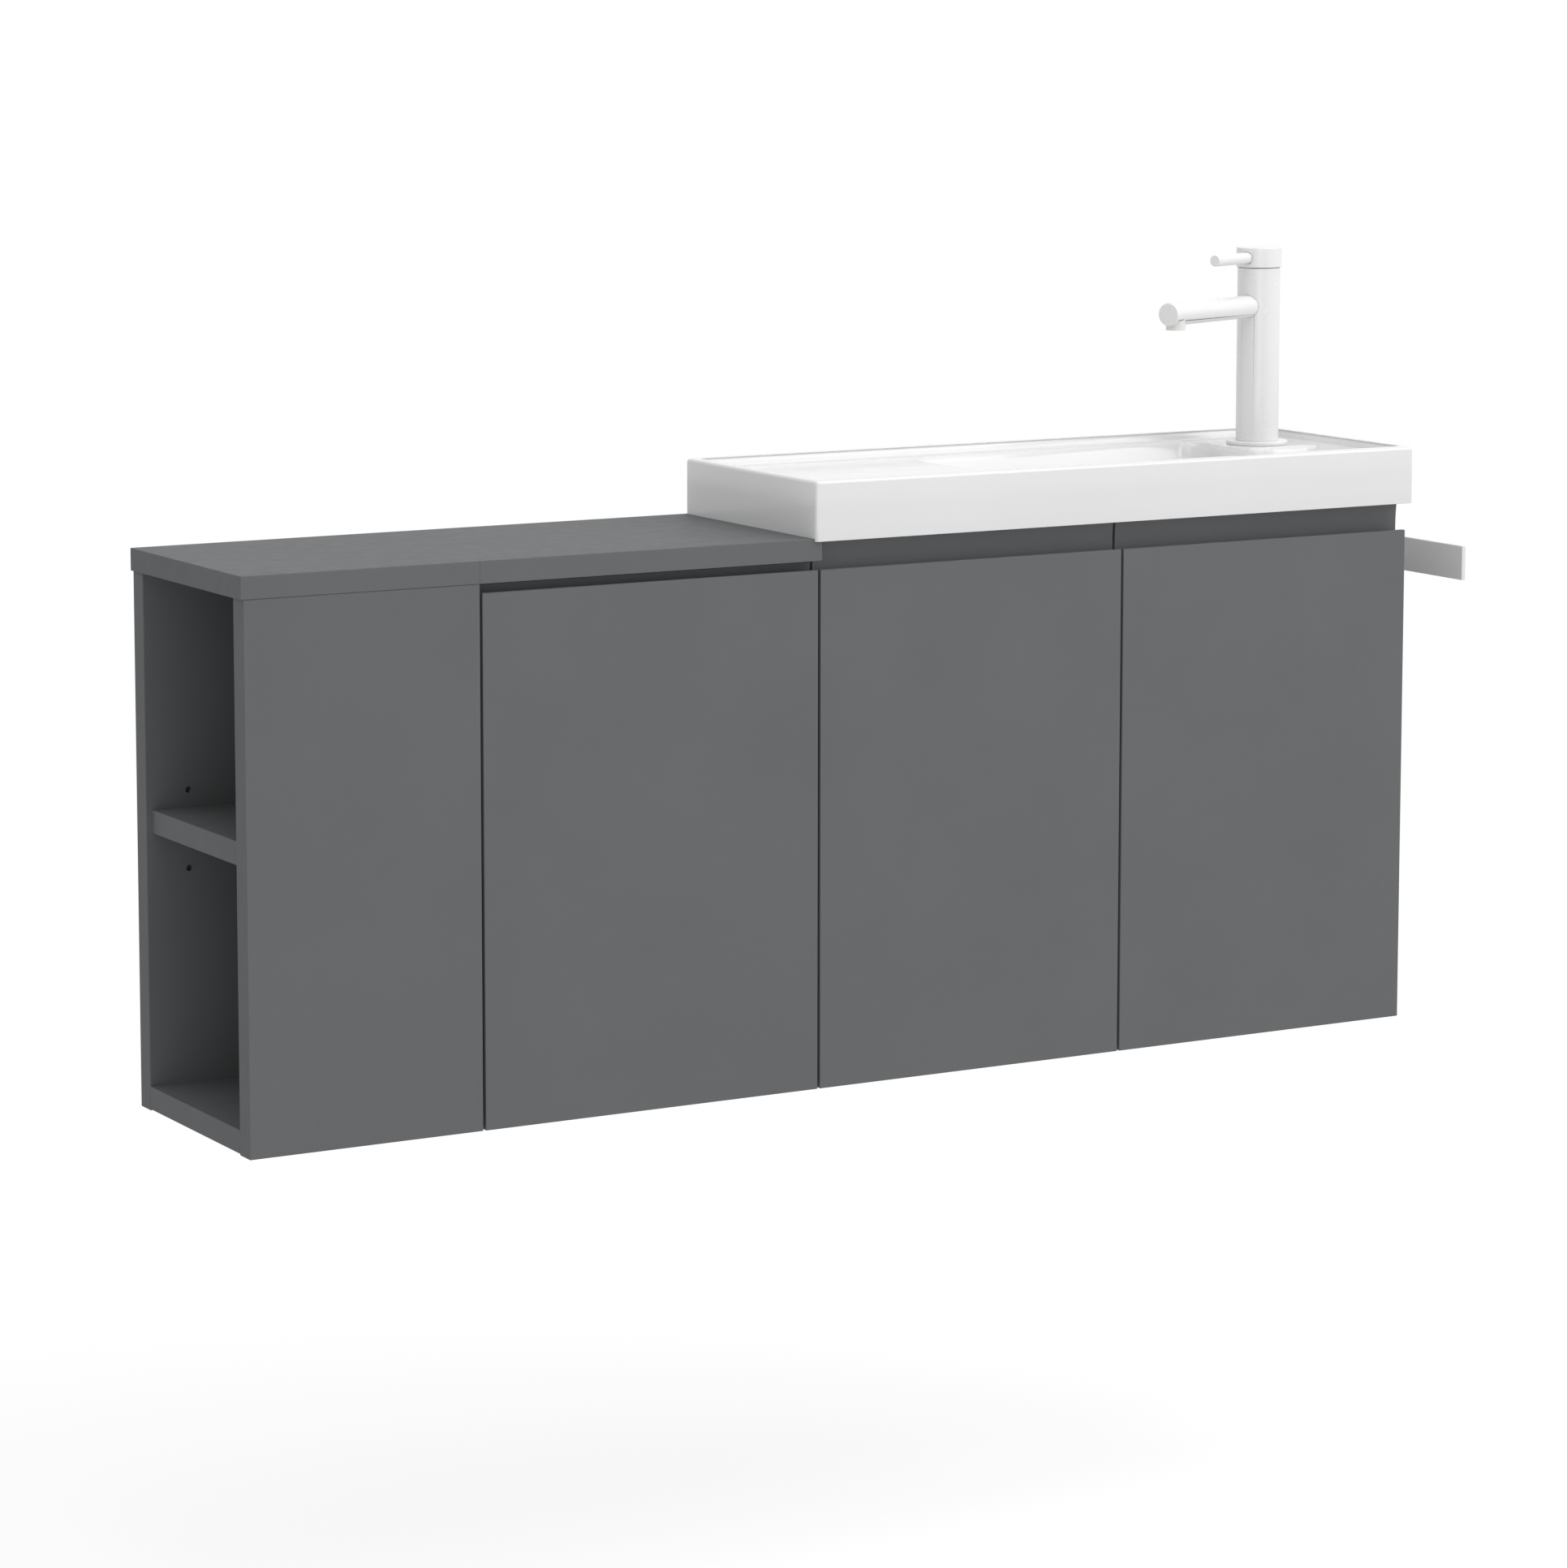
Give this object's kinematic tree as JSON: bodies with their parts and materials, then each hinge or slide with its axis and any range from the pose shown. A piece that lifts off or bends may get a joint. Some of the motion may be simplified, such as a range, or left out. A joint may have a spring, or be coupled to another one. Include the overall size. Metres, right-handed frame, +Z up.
{
  "type": "wall-hung vanity unit",
  "caption": "Wall-hung bathroom vanity unit with an open end niche, cabinets with grip-groove doors, a slim ceramic basin with a tray, a pillar mixer tap and a side towel rail.",
  "frame": {"origin": "on the wall plane, at the centre of the four wall screw holes of the basin cabinet's two wall plates", "axes": "+X to the right along the wall for a person facing the fronts, +Y into the wall, +Z up; the fronts face -Y"},
  "size_m": [1.1763, 0.22, 0.6703],
  "materials": {
    "grey_lacquered_board": "matt grey lacquer on wood fibre board",
    "beech_dowel": "fluted, raw",
    "zinc_plated_steel": "bright zinc plated",
    "nickel_plated_steel": "satin nickel plated",
    "white_ceramic": "glossy white glaze",
    "white_coated_metal": "satin white powder coat",
    "chromed_brass": "polished chrome",
    "tap_brass": "raw machined",
    "white_plastic": "moulded",
    "clear_soft_plastic": "soft, cast",
    "black_rubber": "moulded"
  },
  "bodies": {
    "carcass": {"niche_back_panel": "grey_lacquered_board", "niche_front_panel": "grey_lacquered_board", "niche_end_panel": "grey_lacquered_board", "niche_bottom": "grey_lacquered_board", "niche_shelf": "grey_lacquered_board", "shelf_pins": "zinc_plated_steel", "worktop": "grey_lacquered_board", "middle_left_side": "grey_lacquered_board", "middle_right_side": "grey_lacquered_board", "middle_bottom": "grey_lacquered_board", "middle_top_rail": "grey_lacquered_board", "middle_lower_rail": "grey_lacquered_board", "basin_left_side": "grey_lacquered_board", "basin_right_side": "grey_lacquered_board", "basin_cabinet_bottom": "grey_lacquered_board", "basin_front_rail": "grey_lacquered_board", "basin_top_rail": "grey_lacquered_board", "basin_lower_rail": "grey_lacquered_board", "cabinet_hangers": "zinc_plated_steel", "wall_plates": "zinc_plated_steel", "cam_discs": "zinc_plated_steel", "cam_bolts": "zinc_plated_steel", "wood_dowels": "beech_dowel", "cabinet_screws": "zinc_plated_steel", "hinge_arms": "nickel_plated_steel", "hinge_pins": "nickel_plated_steel", "hinge_plates": "zinc_plated_steel", "hinge_plate_screws": "zinc_plated_steel", "door_buffers": "clear_soft_plastic", "towel_rail": "white_coated_metal", "towel_rail_screws": "zinc_plated_steel", "basin": "white_ceramic", "waste_body": "chromed_brass", "waste_gasket": "black_rubber", "waste_nut": "chromed_brass", "trap_inlet_tube": "white_plastic", "trap_nuts": "white_plastic", "trap_body": "white_plastic", "trap_cup": "white_plastic", "trap_outlet_pipe": "white_plastic", "tap_base_ring": "white_coated_metal", "tap_body": "white_coated_metal", "tap_spout": "white_coated_metal", "tap_aerator": "white_plastic", "tap_cartridge": "white_plastic", "tap_shank": "tap_brass", "tap_nut": "zinc_plated_steel"},
    "middle_door": {"middle_door": "grey_lacquered_board", "middle_hinge_cups": "nickel_plated_steel"},
    "left_basin_door": {"left_basin_door": "grey_lacquered_board", "left_hinge_cups": "nickel_plated_steel"},
    "right_basin_door": {"right_basin_door": "grey_lacquered_board", "right_hinge_cups": "nickel_plated_steel"},
    "middle_hinge_link": {"middle_hinge_links": "nickel_plated_steel"},
    "left_hinge_link": {"left_hinge_links": "nickel_plated_steel"},
    "right_hinge_link": {"right_hinge_links": "nickel_plated_steel"},
    "tap_handle": {"tap_cap": "white_coated_metal", "tap_lever": "white_coated_metal", "tap_spindle": "tap_brass"},
    "waste_plug": {"waste_plug": "white_ceramic"}
  },
  "joints": [
    {"name": "middle_door_hinge", "type": "hinge", "parent": "carcass", "child": "middle_door", "pos_m": [-0.296, -0.2165, 0], "axis": [0, 0, 1], "range_deg": [0, 90]},
    {"name": "left_basin_door_hinge", "type": "hinge", "parent": "carcass", "child": "left_basin_door", "pos_m": [-0.2936, -0.2165, 0], "axis": [0, 0, -1], "range_deg": [0, 90]},
    {"name": "right_basin_door_hinge", "type": "hinge", "parent": "carcass", "child": "right_basin_door", "pos_m": [0.2948, -0.2165, 0], "axis": [0, 0, 1], "range_deg": [0, 95]},
    {"name": "middle_hinge_link_turn", "type": "hinge", "parent": "carcass", "child": "middle_hinge_link", "pos_m": [-0.3298, -0.2062, 0], "axis": [0, 0, 1], "range_deg": [-66, 0]},
    {"name": "left_hinge_link_turn", "type": "hinge", "parent": "carcass", "child": "left_hinge_link", "pos_m": [-0.2598, -0.2062, 0], "axis": [0, 0, -1], "range_deg": [-66, 0]},
    {"name": "right_hinge_link_turn", "type": "hinge", "parent": "carcass", "child": "right_hinge_link", "pos_m": [0.261, -0.2062, 0], "axis": [0, 0, 1], "range_deg": [-69.7, 0]},
    {"name": "tap_handle_turn", "type": "hinge", "parent": "carcass", "child": "tap_handle", "pos_m": [0.243, -0.0655, 0.25], "axis": [0, 0, 1], "range_deg": [0, 90]},
    {"name": "waste_plug_lift", "type": "slide", "parent": "carcass", "child": "waste_plug", "axis": [0, 0, 1], "range_m": [0, 0.006]}
  ],
  "couplings": [
    {"joint": "middle_hinge_link_turn", "follows": "middle_door_hinge", "ratio": -0.729},
    {"joint": "left_hinge_link_turn", "follows": "left_basin_door_hinge", "ratio": -0.729},
    {"joint": "right_hinge_link_turn", "follows": "right_basin_door_hinge", "ratio": -0.729}
  ]
}
